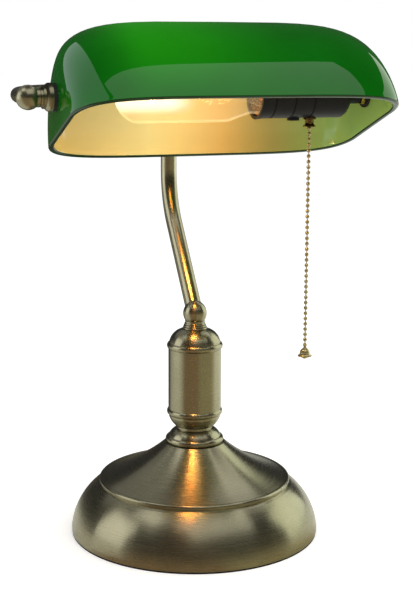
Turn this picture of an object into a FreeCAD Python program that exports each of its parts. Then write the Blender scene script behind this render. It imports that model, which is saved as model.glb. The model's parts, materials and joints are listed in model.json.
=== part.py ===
"""Banker desk lamp: a brass stand, a fixed yoke and a glass shade that tilts on it.

Millimetres. The origin is the middle of the foot, on the desk. Z is up, X runs along the
shade and the front, where the chain hangs, is -Y.
"""
import FreeCAD
import Part
import Sketcher
import math
import os

V = FreeCAD.Vector
X_AXIS = V(1, 0, 0)
Y_AXIS = V(0, 1, 0)
Z_AXIS = V(0, 0, 1)

SIZES = (
    # foot
    ("pad_radius", 89.8),
    ("pad_height", 1.2),
    ("shell_radius", 90.0),
    ("shell_wall", 1.2),
    ("shell_edge_height", 4.5),
    ("skirt_middle_radius", 83.5),
    ("skirt_middle_height", 22.8),
    ("skirt_top_radius", 71.0),
    ("skirt_top_height", 35.9),
    ("lip_radius", 69.6),
    ("lip_height", 39.2),
    ("lip_round", 1.8),
    ("lip_undercut", 0.5),
    ("lip_rise", 1.1),
    ("wall_drop", 0.9),
    ("wall_skirt", 0.7),
    ("wall_flare", 0.4),
    ("flare_foot_radius", 67.0),
    ("flare_foot_height", 40.6),
    ("flare_middle_radius", 39.0),
    ("flare_middle_height", 53.6),
    ("flare_top_radius", 22.0),
    ("flare_top_height", 66.4),
    ("weight_radius", 72.0),
    ("weight_shoulder_radius", 58.0),
    ("weight_edge_height", 8.0),
    ("weight_height", 17.0),
    ("nut_recess_radius", 16.0),
    ("nut_recess_height", 13.0),
    ("lead_slot_width", 9.0),
    ("lead_slot_height", 12.0),
    ("slot_overlap", 2.0),
    ("inlet_height", 10.0),
    ("inlet_hole_radius", 4.5),
    ("inlet_bore_radius", 3.2),
    ("inlet_flange_radius", 6.6),
    ("inlet_flange_thickness", 2.2),
    ("inlet_sleeve_length", 5.0),
    ("inlet_gap", 0.1),
    # centre rod and its fixings
    ("rod_radius", 5.0),
    ("rod_bore_radius", 3.6),
    ("rod_foot_height", 3.4),
    ("rod_top_height", 152.6),
    ("rod_clearance", 0.1),
    ("nut_width", 17.0),
    ("nut_height", 6.0),
    ("washer_radius", 13.0),
    ("washer_height", 2.0),
    # post
    ("collar_radius", 21.0),
    ("collar_height", 4.6),
    ("collar_inset", 1.4),
    ("collar_bulge", 2.5),
    ("cup_waist_radius", 12.8),
    ("cup_waist_height", 78.6),
    ("cup_waist_length", 2.2),
    ("cup_step", 1.0),
    ("cup_curve", 16.0),
    ("cup_foot_curve", 9.0),
    ("cup_ring_radius", 18.6),
    ("cup_ring_height", 85.6),
    ("cup_foot_radius", 19.0),
    ("bead_radius", 20.0),
    ("bead_height", 4.4),
    ("bead_inset", 1.0),
    ("bead_bulge", 2.65),
    ("spigot_length", 3.0),
    ("lower_bead_height", 87.2),
    ("upper_bead_height", 136.0),
    ("post_radius", 19.1),
    ("post_wall", 1.2),
    ("cap_radius", 18.6),
    ("cap_top_radius", 9.4),
    ("cap_top_height", 150.2),
    ("cap_curve", 12.0),
    ("neck_radius", 7.1),
    ("neck_ring_radius", 8.8),
    ("neck_ring_height", 1.5),
    ("neck_ring_step", 0.6),
    ("neck_ring_inset", 0.35),
    ("neck_ring_bulge", 0.9),
    ("neck_rings", 3.0),
    ("neck_top_height", 156.2),
    ("foot_ball_radius", 9.3),
    ("foot_ball_height", 161.6),
    ("thread_room", 1.2),
    # arm and yoke
    ("arm_radius", 5.9),
    ("arm_wall", 1.2),
    ("arm_lean", 39.3),
    ("arm_bend_radius", 60.0),
    ("arm_back", 62.0),
    ("yoke_radius", 5.0),
    ("yoke_wall", 1.0),
    ("yoke_bend_radius", 87.0),
    ("hub_radius", 9.5),
    ("hub_depth", 5.0),
    ("hub_passage_radius", 3.6),
    # tilt axis
    ("tilt_back", -47.9),
    ("tilt_height", 317.9),
    ("left_ball_out", -128.0),
    ("left_ball_radius", 8.0),
    ("left_neck_out", -121.0),
    ("right_ball_out", 118.8),
    ("right_ball_radius", 7.0),
    ("right_neck_out", 113.6),
    ("ball_neck_radius", 6.3),
    ("leg_socket_depth", 4.8),
    ("pin_radius", 3.5),
    ("pin_bore_radius", 2.2),
    ("pin_running_clearance", 0.05),
    ("pivot_gap", 0.3),
    ("left_pin_out", -131.5),
    ("left_pin_in", -98.0),
    ("left_pin_bore", 0.6),
    ("right_pin_out", 121.5),
    ("right_pin_in", 91.0),
    ("pivot_washer_radius", 9.0),
    ("left_washer_thickness", 2.6),
    ("right_washer_thickness", 1.7),
    ("right_washer_radius", 7.6),
    ("inner_washer_thickness", 1.4),
    ("flange_radius", 9.2),
    ("flange_thickness", 4.4),
    ("flange_rim", 2.0),
    ("flange_curve", 3.1),
    ("flange_step_radius", 7.4),
    ("flange_step_thickness", 1.6),
    ("lock_nut_width", 13.0),
    ("lock_nut_thickness", 3.6),
    # glass shade
    ("glass_half_length", 110.4),
    ("glass_half_width", 65.2),
    ("glass_height", 72.5),
    ("glass_wall", 3.6),
    ("glass_plan_power", 4.8),
    ("glass_arch_power", 1.62),
    ("glass_end_share", 0.5),
    ("glass_lean", 21.04),
    ("glass_back", -56.15),
    ("glass_rim_height", 296.5),
    ("glass_hole_radius", 4.2),
    # lamp holder
    ("holder_mouth", 25.4),
    ("holder_radius", 15.5),
    ("holder_rim_radius", 16.0),
    ("holder_rim_length", 2.2),
    ("holder_wall", 1.4),
    ("holder_groove_depth", 0.5),
    ("holder_groove_width", 1.0),
    ("holder_groove_step", 14.0),
    ("holder_grooves", 3.0),
    ("lug_radius", 4.2),
    ("lug_reach", 1.6),
    ("lug_inset", 0.7),
    ("lug_offset", 12.0),
    ("holder_end", 86.6),
    ("holder_cap_shoulder", 92.2),
    ("holder_cap_end", 101.2),
    ("holder_neck_radius", 6.4),
    ("holder_cap_curve", 10.0),
    ("holder_cap_fillet", 1.6),
    ("holder_cap_step", 0.5),
    ("screw_shell_radius", 13.9),
    ("screw_shell_wall", 0.4),
    ("screw_shell_start", 29.5),
    ("screw_shell_end", 56.5),
    ("screw_shell_hole", 6.0),
    ("core_start", 58.6),
    ("core_length", 3.4),
    ("core_bore_radius", 2.4),
    ("core_gap", 0.1),
    ("core_notch_room", 1.4),
    ("contact_tail_radius", 1.8),
    ("contact_width", 5.0),
    ("contact_length", 10.0),
    ("contact_thickness", 0.5),
    ("terminal_radius", 1.7),
    ("terminal_length", 3.2),
    ("terminal_out", 9.5),
    # pull switch
    ("chain_out", 65.4),
    ("guide_radius", 2.9),
    ("guide_bore_radius", 1.9),
    ("guide_flange_radius", 4.4),
    ("guide_flange_height", 1.0),
    ("guide_mouth_radius", 4.4),
    ("guide_mouth_height", 296.4),
    ("guide_mouth_lip", 0.8),
    ("guide_mouth_depth", 2.2),
    ("guide_mouth_curve", 3.2),
    ("guide_rim_height", 0.7),
    ("guide_flare_height", 2.6),
    ("guide_top_height", 304.4),
    ("axle_out", 75.2),
    ("axle_radius", 1.2),
    ("axle_length", 26.4),
    ("lever_thickness", 3.0),
    ("lever_arm_thickness", 1.8),
    ("lever_width", 2.4),
    ("lever_hub_radius", 3.2),
    ("lever_eye_radius", 1.7),
    ("lever_eye_inset", 1.02),
    ("lever_start_angle", 23.0),
    ("lever_reach", 10.4),
    ("cam_radius", 5.4),
    ("cam_thickness", 2.0),
    ("cam_teeth", 8.0),
    ("cam_tooth_depth", 1.4),
    ("spring_out", 9.2),
    ("spring_half_height", 13.0),
    ("spring_bend_radius", 25.0),
    ("spring_thickness", 0.5),
    ("spring_width", 4.0),
    # chain
    ("bead_size", 1.4),
    ("bead_pitch", 3.78),
    ("chain_top_height", 295.2),
    ("link_radius", 0.45),
    ("link_gap", 0.15),
    ("head_beads", 6.0),
    ("middle_bead", 20.0),
    ("last_bead", 40.0),
    ("bell_top_drop", 1.55),
    ("bell_neck_radius", 1.2),
    ("bell_neck_length", 0.8),
    ("bell_dome_radius", 3.5),
    ("bell_dome_length", 4.2),
    ("bell_rim_radius", 4.9),
    ("bell_rim_length", 1.8),
    ("bell_rim_thickness", 0.5),
    ("bell_flare", 2.2),
    ("bell_ball_radius", 2.9),
    ("bell_ball_drop", 1.9),
    # bulb
    ("bulb_tip", -71.0),
    ("bulb_radius", 17.4),
    ("bulb_dome_length", 13.0),
    ("bulb_shoulder", 5.0),
    ("bulb_neck_radius", 12.2),
    ("bulb_neck", 21.0),
    ("bulb_end", 33.0),
    ("bulb_wall", 0.8),
    ("cap_start", 27.0),
    ("cap_sleeve_length", 2.4),
    ("cap_ridge_start", 3.0),
    ("cap_ridge_gap", 0.4),
    ("cap_ridge_curve", 2.6),
    ("cap_thread_end", 49.5),
    ("cap_sleeve_radius", 13.0),
    ("cap_root_radius", 12.4),
    ("cap_wall", 0.15),
    ("cap_turns", 6.0),
    ("insulator_radius", 8.7),
    ("insulator_start", 51.1),
    ("insulator_tip_radius", 5.2),
    ("cap_cone_end", 54.2),
    ("tip_contact_radius", 4.6),
    ("tip_contact_end", 56.8),
    ("stem_radius", 4.5),
    ("stem_tip", -6.0),
    ("stem_tip_radius", 1.8),
    ("stem_waist", 8.0),
    ("stem_flare", 6.0),
    ("stem_gap", 0.6),
    ("button_radius", 5.4),
    ("button_thickness", 1.6),
    ("filament_radius", 0.6),
    ("filament_ring_radius", 4.5),
    ("filament_out", -46.0),
    ("support_radius", 0.4),
)


class Size:
    """A length that carries both its value and the spreadsheet expression behind it."""

    def __init__(self, value, text):
        self.value = float(value)
        self.text = text

    def combined(self, other, sign, value):
        return Size(value, "(%s %s %s)" % (self.text, sign, other.text))

    def __add__(self, other):
        other = as_size(other)
        return self.combined(other, "+", self.value + other.value)

    def __sub__(self, other):
        other = as_size(other)
        return self.combined(other, "-", self.value - other.value)

    def __mul__(self, other):
        other = as_size(other)
        return self.combined(other, "*", self.value * other.value)

    def __truediv__(self, other):
        other = as_size(other)
        return self.combined(other, "/", self.value / other.value)

    def __rsub__(self, other):
        return as_size(other) - self

    def __neg__(self):
        return as_size(0) - self

    __radd__ = __add__
    __rmul__ = __mul__


def as_size(number):
    """The number as a Size, so that plain numbers mix with spreadsheet sizes."""
    if isinstance(number, Size):
        return number
    return Size(number, repr(float(number)))


class Sheet:
    """The spreadsheet of driving dimensions, read as attributes that are Sizes."""

    def __init__(self, doc, rows):
        self.page = doc.addObject("Spreadsheet::Sheet", "Sizes")
        self.values = dict(rows)
        for row, (alias, value) in enumerate(rows, start=1):
            self.page.set("A%d" % row, alias)
            self.page.set("B%d" % row, str(value))
            self.page.setAlias("B%d" % row, alias)

    def __getattr__(self, alias):
        return Size(self.values[alias], "Sizes." + alias)


doc = FreeCAD.newDocument("BankerDeskLamp")
S = Sheet(doc, SIZES)
doc.recompute()
NODES = []


# --- helpers: bodies, outlines and features ---------------------------------------------

def bind(item, name, size):
    """Set a property from a Size and keep it tied to the spreadsheet."""
    item.setExpression(name, size.text)


def bind_place(item, spot, rotation=None):
    """Put an object at a spot of three Sizes, each tied to the spreadsheet."""
    spot = [as_size(value) for value in spot]
    turn = rotation or FreeCAD.Rotation()
    item.Placement = FreeCAD.Placement(V(*[value.value for value in spot]), turn)
    for letter, size in zip("xyz", spot):
        bind(item, "Placement.Base." + letter, size)


def new_body(label, spot=(0, 0, 0), rotation=None):
    body = doc.addObject("PartDesign::Body", label)
    body.Label = label
    bind_place(body, spot, rotation)
    NODES.append(body)
    return body


def plane(body, role):
    return [item for item in body.Origin.OriginFeatures if item.Role == role][0]


class Arc:
    """A corner of an outline that is reached along an arc of a radius, left or right."""

    def __init__(self, spot, radius, side):
        self.spot = spot
        self.radius = as_size(radius)
        self.side = side


def arc_centre(start, end, radius, side):
    """Centre of the arc from start to end, on the left (1) or the right (-1) of the chord."""
    chord = end - start
    half = chord.Length / 2
    rise = math.sqrt(max(radius * radius - half * half, 0.0))
    return (start + end) / 2 + V(-chord.y, chord.x, 0).normalize() * rise * side


def outline(body, name, corners, role="XZ_Plane", lift=0, open_path=False, closing=None):
    """A sketch of straight runs and arcs through corners of two Sizes, fully constrained.

    The closing arc, if there is one, is how the last corner goes back to the first."""
    sketch = body.newObject("Sketcher::SketchObject", name)
    sketch.AttachmentSupport = [(plane(body, role), "")]
    sketch.MapMode = "FlatFace"
    bind(sketch, "AttachmentOffset.Base.z", as_size(lift))
    arcs = [corner if isinstance(corner, Arc) else None for corner in corners]
    arcs[0] = closing
    sizes = [[as_size(value) for value in (corner.spot if isinstance(corner, Arc) else corner)]
             for corner in corners]
    spots = [V(across.value, up.value, 0) for across, up in sizes]
    runs = len(corners) - 1 if open_path else len(corners)
    names = []
    for run in range(runs):
        follow = (run + 1) % len(corners)
        arc = arcs[follow]
        if arc is None:
            sketch.addGeometry(Part.LineSegment(spots[run], spots[follow]), False)
            names.append((run, 1, 2))
            continue
        centre = arc_centre(spots[run], spots[follow], arc.radius.value, arc.side)
        circle = Part.Circle(centre, Z_AXIS, arc.radius.value)
        ends = [spots[run], spots[follow]] if arc.side > 0 else [spots[follow], spots[run]]
        angles = [math.atan2(spot.y - centre.y, spot.x - centre.x) for spot in ends]
        if angles[1] <= angles[0]:
            angles[1] += 2 * math.pi
        sketch.addGeometry(Part.ArcOfCircle(circle, angles[0], angles[1]), False)
        names.append((run, 1, 2) if arc.side > 0 else (run, 2, 1))
        row = sketch.addConstraint(Sketcher.Constraint("Radius", run, arc.radius.value))
        bind(sketch, "Constraints[%d]" % row, arc.radius)
    joined = range(runs) if not open_path else range(runs - 1)
    for run in joined:
        follow = (run + 1) % runs
        sketch.addConstraint(Sketcher.Constraint(
            "Coincident", run, names[run][2], follow, names[follow][1]))
    pins = [(names[run][0], names[run][1], sizes[run]) for run in range(runs)]
    if open_path:
        pins.append((names[-1][0], names[-1][2], sizes[-1]))
    for run, end, (across, up) in pins:
        pin_point(sketch, run, end, "DistanceX", across, -2)
        pin_point(sketch, run, end, "DistanceY", up, -1)
    sketch.Visibility = False
    return sketch


def pin_point(sketch, run, end, kind, size, axis):
    """Hold one coordinate of a point: on the axis if it is zero, else at its Size."""
    if size.value == 0:
        sketch.addConstraint(Sketcher.Constraint("PointOnObject", run, end, axis))
        return
    row = sketch.addConstraint(Sketcher.Constraint(kind, run, end, size.value))
    bind(sketch, "Constraints[%d]" % row, size)


def disc(body, name, radius, across=0, up=0, role="XY_Plane", lift=0):
    """A sketch of one circle with its centre and radius tied to the spreadsheet."""
    sketch = body.newObject("Sketcher::SketchObject", name)
    sketch.AttachmentSupport = [(plane(body, role), "")]
    sketch.MapMode = "FlatFace"
    bind(sketch, "AttachmentOffset.Base.z", as_size(lift))
    radius, across, up = as_size(radius), as_size(across), as_size(up)
    circle = Part.Circle(V(across.value, up.value, 0), Z_AXIS, radius.value)
    sketch.addGeometry(circle, False)
    row = sketch.addConstraint(Sketcher.Constraint("Radius", 0, radius.value))
    bind(sketch, "Constraints[%d]" % row, radius)
    pin_point(sketch, 0, 3, "DistanceX", across, -2)
    pin_point(sketch, 0, 3, "DistanceY", up, -1)
    sketch.Visibility = False
    return sketch


def turn(body, name, corners, feature="PartDesign::Revolution"):
    """Turn an outline of (radius, height) corners about the body's own Z axis."""
    shape = body.newObject(feature, name)
    shape.Profile = outline(body, name + "_outline", corners)
    shape.ReferenceAxis = (shape.Profile[0], ["V_Axis"])
    shape.Angle = 360
    return shape


def lathe(label, corners, spot=(0, 0, 0), rotation=None):
    body = new_body(label, spot, rotation)
    turn(body, label + "_turned", corners)
    return body


def ring(label, bore, radius, low, high, spot=(0, 0, 0), rotation=None):
    """A plain washer or sleeve from height low to height high."""
    corners = [(bore, low), (radius, low), (radius, high), (bore, high)]
    return lathe(label, corners, spot, rotation)


def pad(body, name, sketch, length, reverse=False, both=False):
    shape = body.newObject("PartDesign::Pad", name)
    shape.Profile = sketch
    bind(shape, "Length", as_size(length))
    shape.Reversed = reverse
    shape.Midplane = both
    return shape


def drill(body, name, radius, length, spot, rotation=None):
    """Cut a round hole that starts at a spot and runs along the turned Z axis."""
    shape = body.newObject("PartDesign::SubtractiveCylinder", name)
    bind(shape, "Radius", as_size(radius))
    bind(shape, "Height", as_size(length))
    bind_place(shape, spot, rotation)
    return shape


def stud(body, name, radius, length, spot, rotation=None):
    """Add a round boss that starts at a spot and runs along the turned Z axis."""
    shape = body.newObject("PartDesign::AdditiveCylinder", name)
    bind(shape, "Radius", as_size(radius))
    bind(shape, "Height", as_size(length))
    bind_place(shape, spot, rotation)
    return shape


def hexagon(body, name, width, role="XY_Plane", lift=0):
    """A six-sided sketch of a width across its flats, centred on the origin."""
    reach = as_size(width) * (1 / math.sqrt(3))
    corners = []
    for corner in range(6):
        angle = math.radians(60 * corner + 30)
        corners.append((reach * math.cos(angle), reach * math.sin(angle)))
    return outline(body, name, corners, role, lift)


def hex_nut(label, width, bore, thickness, spot, rotation=None):
    body = new_body(label, spot, rotation)
    pad(body, label + "_block", hexagon(body, label + "_hexagon", width), thickness)
    drill(body, label + "_bore", bore, as_size(thickness) * 3, (0, 0, -as_size(thickness)))
    return body


def pipe(label, corners, role, start_role, start_spot, start_lift, radius, wall, spot=(0, 0, 0)):
    """A bent tube along a planar path; its section is drawn on the plane it starts from."""
    body = new_body(label, spot)
    path = outline(body, label + "_path", corners, role, open_path=True)
    for kind, section in (("Additive", radius), ("Subtractive", radius - wall)):
        name = "%s_%s" % (label, kind.lower())
        profile = disc(body, name + "_section", section, start_spot[0], start_spot[1],
                       start_role, start_lift)
        shape = body.newObject("PartDesign::%sPipe" % kind, name)
        shape.Profile = profile
        shape.Spine = (path, ["Edge%d" % (run + 1) for run in range(len(corners) - 1)])
    return body


ALONG_X = FreeCAD.Rotation(Y_AXIS, 90)
ALONG_Y = FreeCAD.Rotation(X_AXIS, -90)
DOWN = FreeCAD.Rotation(X_AXIS, 180)


# --- foot -------------------------------------------------------------------------------

def build_foot():
    lathe("base_pad", [(0, 0), (S.pad_radius, 0), (S.pad_radius, S.pad_height), (0, S.pad_height)])
    build_shell()
    build_weight()
    build_inlet()


def shell_run(inset):
    """Outside of the spun shell, or its inside when the inset is the wall, from edge to top."""
    skirt = three_point_radius("skirt_middle", "skirt_top", (S.shell_radius, S.shell_edge_height))
    flare = three_point_radius("flare_middle", "flare_top",
                               (S.flare_foot_radius, S.flare_foot_height))
    down = inset * S.wall_drop
    skirt_in = inset * S.wall_skirt
    flare_in = inset * S.wall_flare
    lip = S.lip_radius - inset
    return [
        (S.shell_radius - inset, S.pad_height),
        (S.shell_radius - inset, S.shell_edge_height),
        Arc((S.skirt_top_radius - skirt_in, S.skirt_top_height - skirt_in), skirt - inset, 1),
        (lip - S.lip_undercut, S.skirt_top_height + S.lip_rise - down),
        (lip, S.lip_height - down),
        Arc((S.flare_foot_radius - flare_in, S.flare_foot_height - down), S.lip_round, 1),
        Arc((S.flare_top_radius - flare_in, S.flare_top_height - down), flare + inset, -1),
    ]


def dome_radius(radius, height):
    """Radius of the sphere whose cap has this base radius and height."""
    return (radius * radius + height * height) / (height * 2)


def three_point_radius(middle, top, start):
    """Radius of the arc through a start point and two named points of the spreadsheet."""
    names = [(middle + "_radius", middle + "_height"), (top + "_radius", top + "_height")]
    spots = [V(start[0].value, start[1].value, 0)]
    spots += [V(S.values[across], S.values[up], 0) for across, up in names]
    return as_size(Part.Arc(*spots).toShape().Curve.Radius)


def build_shell():
    outside = shell_run(as_size(0))
    inside = shell_run(S.shell_wall)
    bore = S.rod_radius + S.rod_clearance
    corners = outside + [(bore, S.flare_top_height), (bore, S.flare_top_height - S.shell_wall)]
    body = lathe("base_shell", corners + reversed_run(inside))
    drill(body, "base_shell_inlet_hole", S.inlet_hole_radius, S.shell_radius,
          (0, S.lip_radius, S.inlet_height), ALONG_Y)


def reversed_run(corners):
    """The same run of lines and arcs, walked the other way."""
    plain = [corner.spot if isinstance(corner, Arc) else corner for corner in corners]
    turned = [plain[-1]]
    for place in range(len(corners) - 2, -1, -1):
        later = corners[place + 1]
        if isinstance(later, Arc):
            turned.append(Arc(plain[place], later.radius, -later.side))
        else:
            turned.append(plain[place])
    return turned


def build_weight():
    bore = S.rod_radius + S.rod_clearance
    body = lathe("base_weight", [
        (S.nut_recess_radius, S.pad_height),
        (S.weight_radius, S.pad_height),
        (S.weight_radius, S.weight_edge_height),
        (S.weight_shoulder_radius, S.weight_height),
        (bore, S.weight_height),
        (bore, S.nut_recess_height),
        (S.nut_recess_radius, S.nut_recess_height),
    ])
    half = S.lead_slot_width * 0.5
    slot = outline(body, "base_weight_slot_outline", [
        (-half, S.nut_recess_radius - S.slot_overlap),
        (half, S.nut_recess_radius - S.slot_overlap),
        (half, S.weight_radius + 1),
        (-half, S.weight_radius + 1),
    ], "XY_Plane", S.pad_height - 1)
    cut = body.newObject("PartDesign::Pocket", "base_weight_slot")
    cut.Profile = slot
    bind(cut, "Length", S.lead_slot_height)
    cut.Reversed = True


def build_inlet():
    face = S.shell_radius + 0.02
    sleeve = S.inlet_hole_radius - S.inlet_gap
    corners = [
        (S.inlet_bore_radius, -S.inlet_sleeve_length),
        (sleeve, -S.inlet_sleeve_length),
        (sleeve, 0),
        (S.inlet_flange_radius, 0),
        (S.inlet_flange_radius, S.inlet_flange_thickness * 0.5),
        Arc((S.inlet_flange_radius - S.inlet_flange_thickness * 0.5, S.inlet_flange_thickness),
            S.inlet_flange_thickness * 0.5, 1),
        (S.inlet_bore_radius, S.inlet_flange_thickness),
    ]
    lathe("cord_bushing", corners, (0, face, S.inlet_height), ALONG_Y)


def build_rod():
    ring("centre_rod", S.rod_bore_radius, S.rod_radius, S.rod_foot_height, S.rod_top_height)
    bore = S.rod_radius + S.rod_clearance
    washer_low = S.nut_recess_height - S.washer_height
    ring("rod_washer", bore, S.washer_radius, washer_low, S.nut_recess_height)
    hex_nut("rod_nut", S.nut_width, bore, S.nut_height, (0, 0, washer_low - S.nut_height))


# --- post -------------------------------------------------------------------------------

def build_post():
    bore = S.rod_radius + S.rod_clearance
    low = S.flare_top_height
    top = low + S.collar_height
    inset = S.collar_radius - S.collar_inset
    lathe("base_collar", [
        (bore, low),
        (inset, low),
        Arc((inset, top), S.collar_bulge, 1),
        (bore, top),
    ])
    build_cup(bore, top)
    inner = S.post_radius - S.post_wall
    ring("post_tube", inner, S.post_radius, S.lower_bead_height + S.bead_height,
         S.upper_bead_height)
    bead = S.bead_radius - S.bead_inset
    cap_foot = S.upper_bead_height + S.bead_height
    spigot = inner - S.rod_clearance
    lathe("post_cap", [
        (bore, S.upper_bead_height - S.spigot_length),
        (spigot, S.upper_bead_height - S.spigot_length),
        (spigot, S.upper_bead_height),
        (bead, S.upper_bead_height),
        Arc((bead, cap_foot), S.bead_bulge, 1),
        (S.cap_radius, cap_foot),
        Arc((S.cap_top_radius, S.cap_top_height), S.cap_curve, 1),
        (bore, S.cap_top_height),
    ])


def build_cup(bore, low):
    """Waisted foot of the post, from the collar up to the bead that carries the tube."""
    waist_low = S.cup_waist_height - S.cup_waist_length
    step = S.cup_waist_radius + S.cup_step
    bead = S.bead_radius - S.bead_inset
    top = S.lower_bead_height + S.bead_height
    spigot = S.post_radius - S.post_wall - S.rod_clearance
    lathe("post_foot", [
        (bore, low),
        (S.cup_foot_radius, low),
        Arc((step, waist_low), S.cup_foot_curve, 1),
        (S.cup_waist_radius, waist_low),
        (S.cup_waist_radius, S.cup_waist_height),
        (step, S.cup_waist_height),
        Arc((S.cup_ring_radius, S.cup_ring_height), S.cup_curve, 1),
        (S.cup_ring_radius, S.lower_bead_height),
        (bead, S.lower_bead_height),
        Arc((bead, top), S.bead_bulge, 1),
        (spigot, top),
        (spigot, top + S.spigot_length),
        (bore, top + S.spigot_length),
    ])


def build_arm_foot():
    """Stepped neck and ball; the arm tube is let into the ball at its lean."""
    corners = [(0, S.cap_top_height)]
    for number in range(int(S.values["neck_rings"])):
        out = S.neck_ring_radius - S.neck_ring_inset - S.neck_ring_step * number
        low = S.cap_top_height + S.neck_ring_height * number
        corners.append((out, low))
        corners.append(Arc((out, low + S.neck_ring_height), S.neck_ring_bulge, 1))
    corners += [
        (S.neck_radius, S.cap_top_height + S.neck_ring_height * S.neck_rings),
        (S.neck_radius, S.neck_top_height),
        (S.neck_radius - S.neck_ring_inset, S.neck_top_height),
        Arc((0, S.foot_ball_height + S.foot_ball_radius), S.foot_ball_radius, 1),
    ]
    return lathe("arm_foot", corners)


# --- arm and yoke -----------------------------------------------------------------------

def arm_path():
    """Centre line in the YZ plane: up the lean, round the bend, then upright to the hub."""
    lean = math.radians(S.values["arm_lean"])
    bend_back = S.arm_back - S.arm_bend_radius * (1 - math.cos(lean))
    bend_low = S.foot_ball_height + bend_back * (1 / math.tan(lean))
    bend_high = bend_low + S.arm_bend_radius * math.sin(lean)
    top = S.tilt_height - S.hub_depth
    start_back = as_size(math.sin(lean))
    start_low = S.foot_ball_height + math.cos(lean)
    return [
        (S.arm_back, top),
        (S.arm_back, bend_high),
        Arc((bend_back, bend_low), S.arm_bend_radius, -1),
        (start_back, start_low),
    ]


def build_arm():
    lean = S.values["arm_lean"]
    foot = build_arm_foot()
    up = FreeCAD.Rotation(X_AXIS, -lean)
    start = (0, math.sin(math.radians(lean)), S.foot_ball_height + math.cos(math.radians(lean)))
    drill(foot, "arm_foot_socket", S.arm_radius, S.foot_ball_radius * 2, start, up)
    drill(foot, "arm_foot_passage", S.rod_bore_radius, S.foot_ball_height - S.cap_top_height + 1,
          (0, 0, S.cap_top_height - 1))
    drill(foot, "arm_foot_thread", S.rod_radius + S.rod_clearance,
          S.rod_top_height - S.cap_top_height + S.thread_room, (0, 0, S.cap_top_height - 1))
    pipe("arm_tube", arm_path(), "YZ_Plane", "XY_Plane", (0, S.arm_back),
         S.tilt_height - S.hub_depth, S.arm_radius, S.arm_wall)


def build_hub():
    """Ball that joins the arm to the two halves of the yoke."""
    body = new_body("yoke_hub", (0, S.arm_back, S.tilt_height))
    turn(body, "yoke_hub_ball", [
        (0, -S.hub_radius),
        Arc((S.hub_radius, 0), S.hub_radius, 1),
        Arc((0, S.hub_radius), S.hub_radius, 1),
    ])
    drill(body, "yoke_hub_arm_socket", S.arm_radius, S.hub_radius, (0, 0, -S.hub_depth), DOWN)
    drill(body, "yoke_hub_passage", S.hub_passage_radius, S.hub_depth + 1,
          (0, 0, -S.hub_depth - 1))
    reach = S.hub_radius * 2
    drill(body, "yoke_hub_cross_passage", S.hub_passage_radius, S.hub_depth * 2 + 2,
          (-S.hub_depth - 1, 0, 0), ALONG_X)
    drill(body, "yoke_hub_right_socket", S.yoke_radius, reach, (S.hub_depth, 0, 0), ALONG_X)
    drill(body, "yoke_hub_left_socket", S.yoke_radius, reach, (-S.hub_depth, 0, 0),
          FreeCAD.Rotation(Y_AXIS, -90))


def build_yoke(side, label, ball_out):
    """Half of the yoke: back bar, corner bend and the leg that carries a pivot ball."""
    bend = S.yoke_bend_radius
    out = ball_out
    bend_out = out - bend * side
    corners = [
        (S.hub_depth * side, S.arm_back),
        (bend_out, S.arm_back),
        Arc((out, S.arm_back - bend), bend, -side),
        (out, S.tilt_back + S.leg_socket_depth),
    ]
    pipe(label, corners, "XY_Plane", "YZ_Plane", (S.arm_back, 0), S.hub_depth * side,
         S.yoke_radius, S.yoke_wall, (0, 0, S.tilt_height))


def build_pivot_ball(label, side, ball_out, radius, neck_out):
    """Ball on the leg's end, with a short neck towards the glass and a blind pin bore."""
    body = new_body(label, (ball_out, S.tilt_back, S.tilt_height), ALONG_X)
    inward = -side
    neck = (neck_out - ball_out) * inward
    root = math.sqrt(radius.value ** 2 - S.values["ball_neck_radius"] ** 2)
    outer = -radius * inward
    corners = [(0, outer), Arc((S.ball_neck_radius, as_size(root * inward)), radius, inward)]
    corners.append((S.ball_neck_radius, neck * inward))
    corners.append((0, neck * inward))
    turn(body, label + "_turned", corners)
    bore = S.pin_radius + S.pin_running_clearance
    depth = neck + radius * 0.6
    start = neck * inward
    across = FreeCAD.Rotation(X_AXIS, 180) if inward > 0 else FreeCAD.Rotation()
    drill(body, label + "_pin_bore", bore, depth, (0, 0, start), across)
    drill(body, label + "_leg_socket", S.yoke_radius, radius * 2,
          (0, S.leg_socket_depth, 0), ALONG_Y)
    drill(body, label + "_lead_passage", S.pin_bore_radius, S.leg_socket_depth + 1,
          (0, 0, 0), ALONG_Y)


# --- tilt pivots on the glass -----------------------------------------------------------

def on_axis(out=0):
    """A place on the tilt axis, at a distance along X."""
    return (out, S.tilt_back, S.tilt_height)


def build_left_pivot():
    glass = -S.glass_half_length
    washer = glass - S.left_washer_thickness
    flange = washer - S.flange_thickness
    step = flange - S.flange_step_thickness
    bore = S.pin_radius
    ring("left_pin", S.left_pin_bore, S.pin_radius, S.left_pin_out, S.left_pin_in, on_axis(), ALONG_X)
    ring("left_outer_washer", bore, S.pivot_washer_radius, washer, glass, on_axis(), ALONG_X)
    lathe("left_flange", [
        (bore, washer),
        (S.flange_radius, washer),
        (S.flange_radius, washer - S.flange_rim),
        Arc((S.flange_step_radius, flange), S.flange_curve, -1),
        (S.flange_step_radius, step),
        (S.ball_neck_radius, step),
        (S.ball_neck_radius, S.left_neck_out + S.pivot_gap),
        (bore, S.left_neck_out + S.pivot_gap),
    ], on_axis(), ALONG_X)
    inner = glass + S.glass_wall
    nut = inner + S.inner_washer_thickness
    ring("left_inner_washer", bore, S.pivot_washer_radius, inner, nut, on_axis(), ALONG_X)
    hex_nut("left_lock_nut", S.lock_nut_width, bore, S.lock_nut_thickness, on_axis(nut), ALONG_X)


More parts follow.
